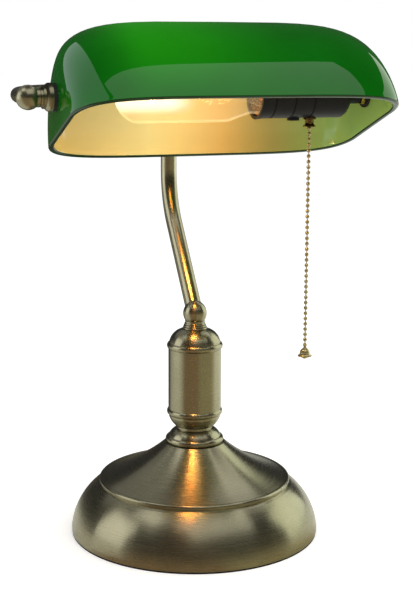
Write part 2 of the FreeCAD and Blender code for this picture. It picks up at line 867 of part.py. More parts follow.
def build_right_pivot():
    glass = S.glass_half_length
    washer = glass + S.right_washer_thickness
    bore = S.pin_radius
    ring("right_nipple", S.pin_bore_radius, S.pin_radius, S.right_pin_in, S.right_pin_out,
         on_axis(), ALONG_X)
    ring("right_outer_washer", bore, S.right_washer_radius, glass, washer,
         on_axis(), ALONG_X)
    ring("right_thrust_ring", bore, S.flange_step_radius, washer,
         S.right_neck_out - S.pivot_gap, on_axis(), ALONG_X)
    inner = glass - S.glass_wall
    nut = inner - S.inner_washer_thickness
    ring("right_inner_washer", bore, S.pivot_washer_radius, nut, inner, on_axis(), ALONG_X)
    hex_nut("right_lock_nut", S.lock_nut_width, bore, S.lock_nut_thickness,
            on_axis(nut - S.lock_nut_thickness), ALONG_X)


# --- glass shade ------------------------------------------------------------------------

ARCH_STEPS = 24
END_STEPS = 11


def arch_wire(half_width, height, out):
    """Closed section of the loaf across X: a flattened arch over a straight rim."""
    power = 2 / S.values["glass_arch_power"]
    spots = []
    for step in range(ARCH_STEPS + 1):
        angle = math.pi * step / ARCH_STEPS
        across = math.cos(angle)
        spots.append(V(out, math.copysign(abs(across) ** power, -across) * half_width,
                       max(math.sin(angle), 0.0) ** power * height))
    curve = Part.BSplineCurve()
    curve.interpolate(spots)
    return Part.Wire([curve.toShape(), Part.makeLine(spots[-1], spots[0])])


def loaf(half_length, half_width, height):
    """Solid loaf with flat ends, its sections shrinking towards them by a rounded law."""
    power = S.values["glass_plan_power"]
    share = S.values["glass_end_share"]
    left = 1 - share ** power
    wires = []
    for step in range(-END_STEPS, END_STEPS + 1):
        across = 1 - (1 - share) * (abs(step) / END_STEPS) ** 2
        along = max((1 - across ** power) / left, 0.0) ** (1 / power)
        out = math.copysign(along, step) * half_length
        wires.append(arch_wire(half_width * across, height * across, out))
    return Part.makeLoft(wires, True, False)


def build_glass():
    """Blown loaf of glass, open below, with a round hole in each flat end."""
    wall = S.values["glass_wall"]
    length = S.values["glass_half_length"]
    width = S.values["glass_half_width"]
    height = S.values["glass_height"]
    outside = loaf(length, width, height)
    inside = loaf(length - wall, width - wall, height - wall)
    shape = outside.cut(inside)
    lean = FreeCAD.Rotation(X_AXIS, -S.values["glass_lean"])
    place = FreeCAD.Placement(V(0, S.values["glass_back"], S.values["glass_rim_height"]), lean)
    axis = place.inverse().multVec(V(0, S.values["tilt_back"], S.values["tilt_height"]))
    hole = Part.makeCylinder(S.values["glass_hole_radius"], 3 * length,
                             V(-1.5 * length, axis.y, axis.z), X_AXIS)
    item = doc.addObject("Part::Feature", "glass_shade")
    item.Label = "glass_shade"
    item.Shape = shape.cut(hole)
    item.Placement = place
    NODES.append(item)


# --- lamp holder ------------------------------------------------------------------------

def build_holder_body():
    """Moulded sleeve with a rolled mouth and shallow mould rings."""
    inner = S.holder_radius - S.holder_wall
    mouth_end = S.holder_mouth + S.holder_rim_length
    corners = [
        (inner, S.holder_mouth),
        (S.holder_rim_radius, S.holder_mouth),
        (S.holder_rim_radius, mouth_end),
        (S.holder_radius, mouth_end),
    ]
    for groove in range(int(S.values["holder_grooves"])):
        start = mouth_end + S.holder_groove_step * (groove + 0.5)
        bottom = S.holder_radius - S.holder_groove_depth
        corners += [
            (S.holder_radius, start),
            (bottom, start),
            (bottom, start + S.holder_groove_width),
            (S.holder_radius, start + S.holder_groove_width),
        ]
    corners += [(S.holder_radius, S.holder_end), (inner, S.holder_end)]
    body = lathe("holder_body", corners, on_axis(), ALONG_X)
    hole = S.guide_radius + S.rod_clearance
    drill(body, "holder_body_guide_hole", hole, S.holder_radius * 2, (0, 0, S.chain_out), ALONG_X)
    stud(body, "holder_body_lug", S.lug_radius, S.holder_radius - inner - S.lug_inset + S.lug_reach,
         (inner + S.lug_inset, 0, S.chain_out - S.lug_offset), ALONG_X)


def build_holder_cap():
    """Rounded end of the holder, hollow, with the threaded neck for the nipple."""
    wall = S.holder_wall
    inner = S.holder_radius - wall
    lathe("holder_cap", [
        (inner, S.holder_end),
        (S.holder_radius, S.holder_end),
        Arc((S.holder_neck_radius + S.holder_cap_fillet, S.holder_cap_shoulder),
            S.holder_cap_curve, 1),
        (S.holder_neck_radius, S.holder_cap_shoulder + 1),
        (S.holder_neck_radius, S.holder_cap_end),
        (S.pin_radius, S.holder_cap_end),
        (S.pin_radius, S.holder_cap_shoulder - wall),
        (S.holder_neck_radius, S.holder_cap_shoulder - wall),
        Arc((inner, S.holder_end + S.holder_cap_step), S.holder_cap_curve, -1),
    ], on_axis(), ALONG_X)


def build_holder_inside():
    outer = S.screw_shell_radius
    inner = outer - S.screw_shell_wall
    lathe("screw_shell", [
        (inner, S.screw_shell_start),
        (outer, S.screw_shell_start),
        (outer, S.screw_shell_end),
        (S.screw_shell_hole, S.screw_shell_end),
        (S.screw_shell_hole, S.screw_shell_end - S.screw_shell_wall),
        (inner, S.screw_shell_end - S.screw_shell_wall),
    ], on_axis(), ALONG_X)
    core_radius = S.holder_radius - S.holder_wall - S.core_gap
    core_end = S.core_start + S.core_length
    core = ring("holder_core", S.core_bore_radius, core_radius, S.core_start, core_end,
                on_axis(), ALONG_X)
    notch = S.guide_radius + S.core_notch_room
    drill(core, "holder_core_chain_notch", notch, S.core_length * 3,
          (core_radius, 0, S.core_start - S.core_length))
    build_contact(core_end)
    build_terminals(core_end)


def build_contact(core_end):
    """Sprung tongue in front of the core that the bulb's tip presses on."""
    body = new_body("centre_contact", on_axis(S.core_start - S.contact_thickness), ALONG_X)
    half = S.contact_width * 0.5
    reach = S.contact_length * 0.5
    corners = [(-reach, -half), (reach, -half), (reach, half), (-reach, half)]
    sketch = outline(body, "centre_contact_outline", corners, "XY_Plane")
    pad(body, "centre_contact_strip", sketch, S.contact_thickness)
    stud(body, "centre_contact_tail", S.contact_tail_radius, core_end - S.core_start + 1,
         (0, 0, 0))


def build_terminals(core_end):
    """Two slotted terminal screws on the back of the core, kept as one node."""
    parts = []
    for side in (-1, 1):
        head = doc.addObject("Part::Cylinder", "terminal_head_%d" % (side + 2))
        bind(head, "Radius", S.terminal_radius)
        bind(head, "Height", S.terminal_length)
        bind_place(head, (core_end, S.tilt_back + S.terminal_out * side, S.tilt_height), ALONG_X)
        parts.append(head)
    group("terminal_screws", parts)


def group(label, parts):
    """Separate solids that share one node."""
    item = doc.addObject("Part::Compound", label)
    item.Label = label
    item.Links = parts
    NODES.append(item)
    return item


# --- pull switch ------------------------------------------------------------------------

def build_guide():
    """Flared brass sleeve that the chain comes down through."""
    low = S.guide_mouth_height
    flange = S.tilt_height - S.holder_radius
    lathe("chain_guide", [
        (S.guide_bore_radius, S.guide_top_height),
        (S.guide_bore_radius, low + S.guide_mouth_depth),
        Arc((S.guide_mouth_radius - S.guide_mouth_lip, low), S.guide_mouth_curve, 1),
        (S.guide_mouth_radius, low),
        (S.guide_mouth_radius, low + S.guide_rim_height),
        Arc((S.guide_radius, low + S.guide_flare_height), S.guide_flare_height, -1),
        (S.guide_radius, flange - S.guide_flange_height),
        (S.guide_flange_radius, flange - S.guide_flange_height),
        (S.guide_flange_radius, flange),
        (S.guide_radius, flange),
        (S.guide_radius, S.guide_top_height),
    ], (S.chain_out, S.tilt_back, 0))


def build_switch():
    """Axle, toothed cam, spring and the lever that the chain pulls down."""
    half = S.axle_length * 0.5
    axle_place = (S.axle_out, S.tilt_back, S.tilt_height)
    lathe("switch_axle", [
        (0, -half), (S.axle_radius, -half), (S.axle_radius, half), (0, half),
    ], axle_place, ALONG_Y)
    build_cam(axle_place)
    build_lever(axle_place)
    build_spring(axle_place)


def build_cam(place):
    body = new_body("switch_cam", place, ALONG_Y)
    corners = []
    teeth = int(S.values["cam_teeth"])
    for tooth in range(teeth):
        start = 2 * math.pi * tooth / teeth
        for angle, reach in ((start, S.cam_radius), (start, S.cam_radius - S.cam_tooth_depth)):
            corners.insert(0, (reach * math.cos(angle), reach * math.sin(angle)))
    lift = S.lever_thickness * 0.5 + S.pivot_gap
    sketch = outline(body, "switch_cam_outline", corners, "XY_Plane", lift)
    pad(body, "switch_cam_disc", sketch, S.cam_thickness)
    drill(body, "switch_cam_bore", S.axle_radius, S.axle_length, (0, 0, -S.axle_length * 0.5))


def build_lever(place):
    """Lever on the axle; its eye carries the top link of the chain."""
    lean = FreeCAD.Rotation(Y_AXIS, S.values["lever_start_angle"])
    body = new_body("switch_lever", place, lean.multiply(ALONG_Y))
    half = S.lever_width * 0.5
    reach = S.lever_reach - S.lever_eye_inset
    depth = S.lever_thickness
    arm = S.lever_arm_thickness
    sketch = disc(body, "switch_lever_hub_outline", S.lever_hub_radius, lift=-depth * 0.5)
    pad(body, "switch_lever_hub", sketch, depth)
    corners = [(-reach, -half), (0, -half), (0, half), (-reach, half)]
    sketch = outline(body, "switch_lever_arm_outline", corners, "XY_Plane", -arm * 0.5)
    pad(body, "switch_lever_arm", sketch, arm)
    sketch = disc(body, "switch_lever_eye_outline", S.lever_eye_radius, -reach,
                  lift=-arm * 0.5)
    pad(body, "switch_lever_eye", sketch, arm)
    bore = S.axle_radius + S.pin_running_clearance
    drill(body, "switch_lever_bore", bore, depth * 3, (0, 0, -depth * 1.5))


def build_spring(place):
    """Leaf spring braced across the sleeve, bowed against the cam."""
    body = new_body("return_spring", place, ALONG_Y)
    reach, bend = S.spring_half_height, S.spring_bend_radius
    outer = S.spring_out + S.spring_thickness
    corners = [
        (S.spring_out, -reach),
        (outer, -reach),
        Arc((outer, reach), bend - S.spring_thickness, -1),
        (S.spring_out, reach),
        Arc((S.spring_out, -reach), bend, 1),
    ]
    sketch = outline(body, "return_spring_outline", corners[:4], "XY_Plane",
                     S.lever_thickness * 0.5 - S.pivot_gap, closing=corners[4])
    pad(body, "return_spring_leaf", sketch, S.spring_width)


# --- chain ------------------------------------------------------------------------------

def bead_height(place):
    """Height of a bead's centre; bead 0 hangs just below the guide."""
    return S.chain_top_height - S.bead_pitch * place


def beads(label, places):
    parts = []
    for place in places:
        ball = doc.addObject("Part::Sphere", "%s_%d" % (label, place - places[0] + 1))
        bind(ball, "Radius", S.bead_size)
        bind_place(ball, (S.chain_out, S.tilt_back, bead_height(place)))
        parts.append(ball)
    group(label, parts)


def links(label, places):
    """Short wires, each from just below one bead to just above the next."""
    parts = []
    for place in places:
        wire = doc.addObject("Part::Cylinder", "%s_%d" % (label, place - places[0] + 1))
        gap = S.bead_size + S.link_gap
        bind(wire, "Radius", S.link_radius)
        bind(wire, "Height", S.bead_pitch - gap * 2)
        bind_place(wire, (S.chain_out, S.tilt_back, bead_height(place + 1) + gap))
        parts.append(wire)
    group(label, parts)


def build_chain():
    head = int(S.values["head_beads"])
    middle = int(S.values["middle_bead"])
    last = int(S.values["last_bead"])
    beads("chain_head_beads", list(range(-head, 0)))
    links("chain_head_links", list(range(-head, 0)))
    beads("chain_top_bead", [0])
    beads("chain_upper_beads", list(range(1, middle)))
    links("chain_upper_links", list(range(0, middle)))
    beads("chain_middle_bead", [middle])
    beads("chain_lower_beads", list(range(middle + 1, last + 1)))
    links("chain_lower_links", list(range(middle, last)))
    build_bell(last)


def build_bell(last):
    """Turned pull bell under the last bead: a dome with a flared rim and a round bottom."""
    top = bead_height(last) - S.bell_top_drop
    shoulder = top - S.bell_neck_length
    dome_low = top - S.bell_dome_length
    rim_high = dome_low - S.bell_rim_length
    rim_low = rim_high - S.bell_rim_thickness
    low = rim_low - S.bell_ball_drop
    lathe("pull_bell", [
        (0, top),
        (S.bell_neck_radius, top),
        (S.bell_neck_radius, shoulder),
        Arc((S.bell_dome_radius, dome_low), S.bell_dome_radius, -1),
        Arc((S.bell_rim_radius, rim_high), S.bell_flare, 1),
        (S.bell_rim_radius, rim_low),
        (S.bell_ball_radius, rim_low),
        Arc((0, low), dome_radius(S.bell_ball_radius, S.bell_ball_drop), -1),
    ], (S.chain_out, S.tilt_back, 0))


# --- bulb -------------------------------------------------------------------------------

def build_bulb():
    build_envelope()
    build_bulb_cap()
    build_filament()


def envelope_run(inset):
    """Outside of the glass tube, or its inside when the inset is the wall."""
    radius = S.bulb_radius - inset
    neck = S.bulb_neck_radius - inset
    tip = S.bulb_tip + inset
    dome = S.bulb_tip + S.bulb_dome_length
    return [
        (0, tip),
        Arc((radius, dome), dome_radius(radius, dome - tip), 1),
        (radius, S.bulb_shoulder),
        (neck, S.bulb_neck),
        (neck, S.bulb_end),
    ]


def build_envelope():
    lathe("bulb_glass", envelope_run(as_size(0)) + reversed_run(envelope_run(S.bulb_wall)),
          on_axis(), ALONG_X)


def build_bulb_cap():
    """Screw cap with rounded ridges, its glass insulator and the tip contact."""
    turns = int(S.values["cap_turns"])
    start = S.cap_start + S.cap_ridge_start
    pitch = (S.cap_thread_end - start) * (1 / turns)
    inner = S.cap_root_radius - S.cap_wall
    corners = [(inner, S.cap_start), (S.cap_sleeve_radius, S.cap_start),
               (S.cap_sleeve_radius, S.cap_start + S.cap_sleeve_length), (S.cap_root_radius, start)]
    for ridge in range(turns):
        low = start + pitch * ridge
        corners.append((S.cap_root_radius, low + S.cap_ridge_gap))
        corners.append(Arc((S.cap_root_radius, low + pitch), S.cap_ridge_curve, 1))
    corners += [(S.insulator_radius, S.insulator_start),
                (S.insulator_radius - S.cap_wall, S.insulator_start),
                (inner, S.cap_thread_end)]
    lathe("bulb_cap", corners, on_axis(), ALONG_X)
    lathe("bulb_insulator", [
        (0, S.insulator_start),
        (S.insulator_radius, S.insulator_start),
        (S.insulator_tip_radius, S.cap_cone_end),
        (0, S.cap_cone_end),
    ], on_axis(), ALONG_X)
    lathe("bulb_tip_contact", [
        (0, S.cap_cone_end),
        (S.tip_contact_radius, S.cap_cone_end),
        Arc((0, S.tip_contact_end),
            dome_radius(S.tip_contact_radius, S.tip_contact_end - S.cap_cone_end), 1),
    ], on_axis(), ALONG_X)


def build_filament():
    """Glass stem with its button, and the filament ring on the two wires that hold it."""
    stem_end = S.bulb_end + S.stem_flare
    waist = S.stem_tip + S.stem_waist
    lathe("bulb_stem", [
        (0, S.stem_tip),
        (S.button_radius, S.stem_tip),
        (S.button_radius, S.stem_tip + S.button_thickness),
        (S.stem_tip_radius, S.stem_tip + S.button_thickness),
        (S.stem_tip_radius, waist),
        (S.stem_radius, S.bulb_neck),
        (S.bulb_neck_radius - S.bulb_wall - S.stem_gap, stem_end),
        (0, stem_end),
    ], on_axis(), ALONG_X)
    loop = doc.addObject("Part::Torus", "filament_loop")
    bind(loop, "Radius1", S.filament_ring_radius)
    bind(loop, "Radius2", S.filament_radius)
    bind_place(loop, on_axis(S.filament_out), ALONG_X)
    parts = [loop]
    start = S.filament_out + S.filament_radius
    for side in (-1, 1):
        post = doc.addObject("Part::Cylinder", "filament_support_%d" % (side + 2))
        bind(post, "Radius", S.support_radius)
        bind(post, "Height", S.stem_tip - start)
        across = S.tilt_back + S.filament_ring_radius * side
        bind_place(post, (start, across, S.tilt_height), ALONG_X)
        parts.append(post)
    group("bulb_filament", parts)


# --- the whole lamp ---------------------------------------------------------------------

def build_lamp():
    build_foot()
    build_rod()
    build_post()
    build_arm()
    build_hub()
    build_yoke(-1, "yoke_left", S.left_ball_out)
    build_yoke(1, "yoke_right", S.right_ball_out)
    build_pivot_ball("pivot_ball_left", -1, S.left_ball_out, S.left_ball_radius, S.left_neck_out)
    build_pivot_ball("pivot_ball_right", 1, S.right_ball_out, S.right_ball_radius,
                     S.right_neck_out)
    build_glass()
    build_left_pivot()
    build_right_pivot()
    build_holder_body()
    build_holder_cap()
    build_holder_inside()
    build_guide()
    build_switch()
    build_chain()
    build_bulb()


def check_shapes():
    """Stop before anything is written if an object is broken."""
    broken = []
    for item in doc.Objects:
        if "Invalid" in item.State or "Error" in item.State:
            broken.append(item.Label)
    for item in NODES:
        if item.Shape.isNull() or not item.Shape.isValid() or not item.Shape.Solids:
            broken.append(item.Label)
    if broken:
        raise RuntimeError("broken objects: " + ", ".join(sorted(set(broken))))


build_lamp()
doc.recompute()
check_shapes()
os.makedirs("parts", exist_ok=True)
for node in NODES:
    node.Shape.exportStep(os.path.join("parts", node.Label + ".step"))
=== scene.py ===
"""Looks, lights and camera for the banker desk lamp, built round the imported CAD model."""
import bmesh
import bpy
import json
import math
from mathutils import Matrix, Vector

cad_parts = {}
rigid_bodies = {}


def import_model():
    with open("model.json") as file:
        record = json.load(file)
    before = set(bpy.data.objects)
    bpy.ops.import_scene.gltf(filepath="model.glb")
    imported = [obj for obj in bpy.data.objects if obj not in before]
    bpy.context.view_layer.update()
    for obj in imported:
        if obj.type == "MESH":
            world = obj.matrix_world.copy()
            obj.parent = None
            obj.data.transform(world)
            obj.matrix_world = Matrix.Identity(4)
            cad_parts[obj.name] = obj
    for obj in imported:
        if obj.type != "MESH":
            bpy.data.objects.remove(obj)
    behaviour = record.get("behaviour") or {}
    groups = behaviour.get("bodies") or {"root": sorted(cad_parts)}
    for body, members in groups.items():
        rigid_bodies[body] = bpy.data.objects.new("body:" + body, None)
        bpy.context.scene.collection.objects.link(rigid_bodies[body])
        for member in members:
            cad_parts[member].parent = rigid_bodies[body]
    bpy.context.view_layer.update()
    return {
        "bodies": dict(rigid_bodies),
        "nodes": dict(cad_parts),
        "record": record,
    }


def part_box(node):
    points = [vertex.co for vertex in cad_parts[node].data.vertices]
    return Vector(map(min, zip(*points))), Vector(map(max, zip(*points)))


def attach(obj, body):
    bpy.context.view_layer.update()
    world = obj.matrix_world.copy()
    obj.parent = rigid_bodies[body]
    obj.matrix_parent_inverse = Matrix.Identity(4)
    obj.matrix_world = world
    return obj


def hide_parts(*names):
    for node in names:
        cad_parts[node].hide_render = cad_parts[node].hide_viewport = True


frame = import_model()
NODES = frame["nodes"]
MM = 0.001


# --- places read from the frame ---------------------------------------------------------

def middle(node):
    low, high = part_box(node)
    return (Vector(low) + Vector(high)) / 2


PIVOT = middle("holder_core")
GLASS_LOW, GLASS_HIGH = (Vector(corner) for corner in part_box("glass_shade"))
BULB_LOW, BULB_HIGH = (Vector(corner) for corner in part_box("bulb_glass"))


# --- camera -----------------------------------------------------------------------------

# Fitted by least squares to the outlines of the foot, the post and the glass.
CAMERA_PLACE = Vector((-0.3013, -0.8843, 0.3550))
CAMERA_YAW = math.radians(19.32)
CAMERA_PITCH = math.radians(11.136)
CAMERA_ROLL = math.radians(0.296)
CAMERA_LENS = 79.75
SENSOR = 36.0


def add_camera():
    data = bpy.data.cameras.new("camera")
    data.lens = CAMERA_LENS
    data.sensor_width = SENSOR
    data.sensor_fit = "AUTO"
    camera = bpy.data.objects.new("camera", data)
    turn = Matrix.Rotation(-CAMERA_YAW, 4, "Z")
    turn = turn @ Matrix.Rotation(math.pi / 2 - CAMERA_PITCH, 4, "X")
    turn = turn @ Matrix.Rotation(CAMERA_ROLL, 4, "Z")
    camera.matrix_world = Matrix.Translation(CAMERA_PLACE) @ turn
    bpy.context.scene.collection.objects.link(camera)
    bpy.context.scene.camera = camera


# --- material helpers -------------------------------------------------------------------

class Nodes:
    """A material's node tree, with short calls to add and join nodes."""

    def __init__(self, name):
        self.material = bpy.data.materials.new(name)
        self.material.use_nodes = True
        self.tree = self.material.node_tree
        self.shader = self.tree.nodes["Principled BSDF"]

    def add(self, kind, **inputs):
        node = self.tree.nodes.new(kind)
        for name, value in inputs.items():
            self.feed(node.inputs[name.replace("_", " ")], value)
        return node

    def feed(self, socket, value):
        if isinstance(value, bpy.types.NodeSocket):
            self.tree.links.new(value, socket)
        else:
            socket.default_value = value

    def set(self, **inputs):
        for name, value in inputs.items():
            self.feed(self.shader.inputs[name.replace("_", " ")], value)

    def math(self, operation, first, second=0.0, clamp=False):
        node = self.tree.nodes.new("ShaderNodeMath")
        node.operation = operation
        node.use_clamp = clamp
        self.feed(node.inputs[0], first)
        self.feed(node.inputs[1], second)
        return node.outputs[0]

    def place(self):
        """Object coordinates: the row frame in metres, riding with the piece."""
        return self.add("ShaderNodeTexCoord").outputs["Object"]

    def split(self, vector):
        return self.add("ShaderNodeSeparateXYZ", Vector=vector).outputs

    def noise(self, vector, scale, detail=2.0, rough=0.5):
        node = self.add("ShaderNodeTexNoise", Vector=vector, Scale=scale, Detail=detail,
                        Roughness=rough)
        return node.outputs["Fac"]

    def ramp(self, factor, *stops):
        """Colour ramp through (position, colour) stops."""
        node = self.add("ShaderNodeValToRGB", Fac=factor)
        band = node.color_ramp.elements
        while len(band) < len(stops):
            band.new(0.5)
        for element, (position, colour) in zip(band, stops):
            element.position = position
            element.color = colour
        return node.outputs["Color"]

    def span(self, value, low, high, out_low=0.0, out_high=1.0):
        """The value mapped from one range to another, smoothly, and held at the ends."""
        node = self.tree.nodes.new("ShaderNodeMapRange")
        node.interpolation_type = "SMOOTHSTEP"
        for socket, number in zip(node.inputs[:5], (value, low, high, out_low, out_high)):
            self.feed(socket, number)
        return node.outputs[0]

    def blend(self, factor, first, second, kind="MIX"):
        node = self.tree.nodes.new("ShaderNodeMix")
        node.data_type = "RGBA"
        node.blend_type = kind
        self.feed(node.inputs[0], factor)
        self.feed(node.inputs[6], first)
        self.feed(node.inputs[7], second)
        return node.outputs[2]

    def bump(self, height, strength, distance):
        node = self.add("ShaderNodeBump", Strength=strength, Distance=distance, Height=height)
        self.set(Normal=node.outputs["Normal"])


def grey(value):
    return (value, value, value, 1.0)


# --- metals -----------------------------------------------------------------------------

TURN_TRACE = 0.0012
TURN_LINES = 2600.0
LATHE_ROTATION = 0.25
BRASS_DARK = (0.285, 0.262, 0.165, 1)
BRASS_LIGHT = (0.385, 0.365, 0.245, 1)
ZINC = (0.55, 0.55, 0.56, 1)
ZINC_STAINED = tuple(part * 0.7 for part in ZINC[:3]) + (1,)


def turned_coordinates(nodes, centre, axis):
    """(distance from the axis, place along it, a trace of the turn) for lathe lines."""
    shift = nodes.add("ShaderNodeVectorMath", Vector=nodes.place())
    shift.operation = "SUBTRACT"
    shift.inputs[1].default_value = centre
    parts = nodes.split(shift.outputs[0])
    along = parts["XYZ".index(axis)]
    across = [parts[place] for place in range(3) if "XYZ"[place] != axis]
    squares = [nodes.math("MULTIPLY", part, part) for part in across]
    radius = nodes.math("SQRT", nodes.math("ADD", squares[0], squares[1]))
    turn = nodes.math("ARCTAN2", across[0], across[1])
    trace = nodes.math("MULTIPLY", turn, TURN_TRACE)
    return nodes.add("ShaderNodeCombineXYZ", X=radius, Y=along, Z=trace).outputs[0]


def brushed_brass(name, centre=(0, 0, 0), axis="Z", rough=0.27, anisotropy=0.85, relief=0.06):
    """Antique brass, lacquered, with the fine turning lines of the polishing wheel."""
    nodes = Nodes(name)
    lines = nodes.noise(turned_coordinates(nodes, centre, axis), TURN_LINES, 3.0, 0.6)
    cloud = nodes.noise(nodes.place(), 45.0, 4.0, 0.6)
    colour = nodes.ramp(nodes.math("ADD", nodes.math("MULTIPLY", lines, 0.5),
                                   nodes.math("MULTIPLY", cloud, 0.5)),
                        (0.30, BRASS_DARK), (0.72, BRASS_LIGHT))
    roughness = nodes.span(lines, 0.3, 0.7, rough - 0.02, rough + 0.03)
    nodes.set(Base_Color=colour, Metallic=1.0, Roughness=roughness, Anisotropic=anisotropy)
    nodes.set(Anisotropic_Rotation=LATHE_ROTATION, Coat_Weight=0.12, Coat_Roughness=0.10)
    nodes.bump(lines, relief, 0.00005)
    tangent = nodes.tree.nodes.new("ShaderNodeTangent")
    tangent.direction_type = "RADIAL"
    tangent.axis = axis
    nodes.set(Tangent=tangent.outputs[0])
    return nodes.material


def yellow_brass(name, dark=(0.40, 0.27, 0.07, 1), light=(0.66, 0.50, 0.20, 1), metal=1.0):
    """Yellow brass of the chain, bell, nuts, guide and bulb cap."""
    nodes = Nodes(name)
    stain = nodes.noise(nodes.place(), 700.0, 3.0)
    nodes.set(Base_Color=nodes.ramp(stain, (0.3, dark), (0.7, light)), Metallic=metal)
    nodes.set(Roughness=nodes.span(stain, 0.3, 0.7, 0.16, 0.30))
    return nodes.material


def steel(name):
    """Zinc-plated steel, a little stained."""
    nodes = Nodes(name)
    stain = nodes.noise(nodes.place(), 400.0, 4.0)
    tint = nodes.blend(nodes.span(stain, 0.3, 0.7), ZINC, ZINC_STAINED)
    nodes.set(Base_Color=tint, Metallic=1.0)
    nodes.set(Roughness=nodes.span(stain, 0.3, 0.7, 0.28, 0.42))
    return nodes.material


def cast_iron(name):
    nodes = Nodes(name)
    grain = nodes.noise(nodes.place(), 900.0, 5.0)
    nodes.set(Base_Color=nodes.ramp(grain, (0.3, grey(0.02)), (0.7, grey(0.07))), Metallic=0.6)
    nodes.set(Roughness=nodes.span(grain, 0.3, 0.7, 0.6, 0.85))
    nodes.bump(grain, 0.5, 0.0004)
    return nodes.material


# --- plastics, rubber, felt and ceramic -------------------------------------------------

def moulded_black(name):
    """Black phenolic with a faint mould texture."""
    nodes = Nodes(name)
    grain = nodes.noise(nodes.place(), 1500.0, 3.0)
    nodes.set(Base_Color=nodes.ramp(grain, (0.3, grey(0.006)), (0.7, grey(0.012))))
    nodes.set(Roughness=nodes.span(grain, 0.3, 0.7, 0.34, 0.46))
    nodes.set(Specular_IOR_Level=0.15)
    nodes.bump(grain, 0.15, 0.00008)
    return nodes.material


def black_rubber(name):
    nodes = Nodes(name)
    grain = nodes.noise(nodes.place(), 2500.0, 2.0)
    nodes.set(Base_Color=nodes.ramp(grain, (0.3, grey(0.010)), (0.7, grey(0.022))))
    nodes.set(Roughness=nodes.span(grain, 0.3, 0.7, 0.7, 0.85))
    nodes.bump(grain, 0.2, 0.0001)
    return nodes.material


def black_felt(name):
    nodes = Nodes(name)
    fibre = nodes.noise(nodes.place(), 3500.0, 6.0, 0.7)
    nodes.set(Base_Color=nodes.ramp(fibre, (0.3, grey(0.002)), (0.7, grey(0.012))))
    nodes.set(Roughness=0.95, Specular_IOR_Level=0.05, Sheen_Weight=0.03, Sheen_Roughness=0.5)
    nodes.bump(fibre, 0.8, 0.0003)
    return nodes.material


def white_ceramic(name):
    nodes = Nodes(name)
    grain = nodes.noise(nodes.place(), 900.0, 3.0)
    nodes.set(Base_Color=nodes.ramp(grain, (0.3, (0.72, 0.69, 0.62, 1)),
                                    (0.7, (0.84, 0.82, 0.76, 1))))
    nodes.set(Roughness=nodes.span(grain, 0.3, 0.7, 0.35, 0.5))
    return nodes.material


# --- glass ------------------------------------------------------------------------------

# Bounds of the painted glow on the green glass, and the strip at its left end that is left without
# it.
PAINTED_GLOW_FROM = BULB_HIGH.x + 12 * MM
PAINTED_GLOW_TO = BULB_LOW.x * 0.8
PAINTED_GLOW_FOOT = GLASS_LOW.z + 35 * MM
PAINTED_GLOW_TOP = GLASS_HIGH.z - 8 * MM
LEFT_END_WIDTH = 50 * MM
# Bounds of the painted white patch on the bulb glass near the filament.
CORE_FAR = BULB_LOW.x + 54 * MM
CORE_NEAR = BULB_LOW.x + 30 * MM
CORE_BOTTOM = PIVOT.z - 14 * MM
CORE_TOP = PIVOT.z - 4 * MM


def green_glass(name):
    """Outer layer of the cased glass, with a painted glow: emission that brightens the green near
    the bulb and is left off at the left end.
    """
    nodes = Nodes(name)
    place = nodes.split(nodes.place())
    streak = nodes.noise(nodes.place(), 26.0, 3.0)
    deep = nodes.ramp(streak, (0.3, (0.0008, 0.066, 0.0012, 1)), (0.7, (0.0015, 0.084, 0.0024, 1)))
    # Painted glow: emission that stands in for the bulb's light through the glass, rising along
    # and up the shade.
    along = nodes.span(place["X"], PAINTED_GLOW_FROM, PAINTED_GLOW_TO)
    upward = nodes.span(place["Z"], PAINTED_GLOW_FOOT, PAINTED_GLOW_TOP)
    left_end = nodes.span(place["X"], GLASS_LOW.x, GLASS_LOW.x + LEFT_END_WIDTH)
    glow = nodes.math("MULTIPLY", nodes.math("MULTIPLY", along, upward), left_end)
    nodes.set(Base_Color=deep, Roughness=0.03, IOR=1.46)
    # A faint painted green glow everywhere, brighter near the bulb, and none on the left end
    # strip.
    painted_glow_colour = nodes.blend(glow, (0.0, 0.020, 0.0, 1), (0.008, 0.150, 0.0, 1))
    nodes.set(Emission_Color=nodes.blend(left_end, grey(0.0), painted_glow_colour))
    nodes.set(Emission_Strength=1.0)
    return nodes.material


def opal_glass(name):
    """Inner opal layer with painted light and shade: creamy and orange where the bulb's light
    falls, darker near the socket and green at the right end.
    """
    nodes = Nodes(name)
    place = nodes.split(nodes.place())
    cloud = nodes.noise(nodes.place(), 30.0, 3.0)
    along = nodes.math("DIVIDE", nodes.math("SUBTRACT", place["X"], GLASS_LOW.x),
                       GLASS_HIGH.x - GLASS_LOW.x)
    # Painted light and shade along the shade: cream and orange towards the bulb, a darker band
    # near the socket and painted green light at the right end.
    colour = nodes.ramp(along, (0.05, (0.47, 0.38, 0.125, 1)), (0.35, (0.51, 0.50, 0.235, 1)),
                        (0.60, (0.49, 0.33, 0.090, 1)), (0.77, (0.28, 0.25, 0.056, 1)),
                        (0.95, (0.21, 0.38, 0.078, 1)))
    colour = nodes.blend(nodes.math("MULTIPLY", cloud, 0.12), colour, (0.60, 0.48, 0.26, 1))
    nodes.set(Base_Color=colour, Roughness=0.10, IOR=1.5, Coat_Weight=0.3, Coat_Roughness=0.04)
    # Painted glow: emission towards the left end that stands in for the bulb's light on the opal.
    nodes.set(Emission_Color=nodes.ramp(along, (0.3, (0.050, 0.032, 0.010, 1)),
                                        (0.8, (0.006, 0.006, 0.001, 1))), Emission_Strength=1.0)
    return nodes.material


def rim_glass(name):
    """Polished rim, nearly black green."""
    nodes = Nodes(name)
    streak = nodes.noise(nodes.place(), 60.0, 3.0)
    nodes.set(Base_Color=nodes.ramp(streak, (0.3, (0.002, 0.018, 0.004, 1)),
                                    (0.7, (0.004, 0.030, 0.006, 1))))
    nodes.set(Roughness=0.08, IOR=1.5)
    return nodes.material


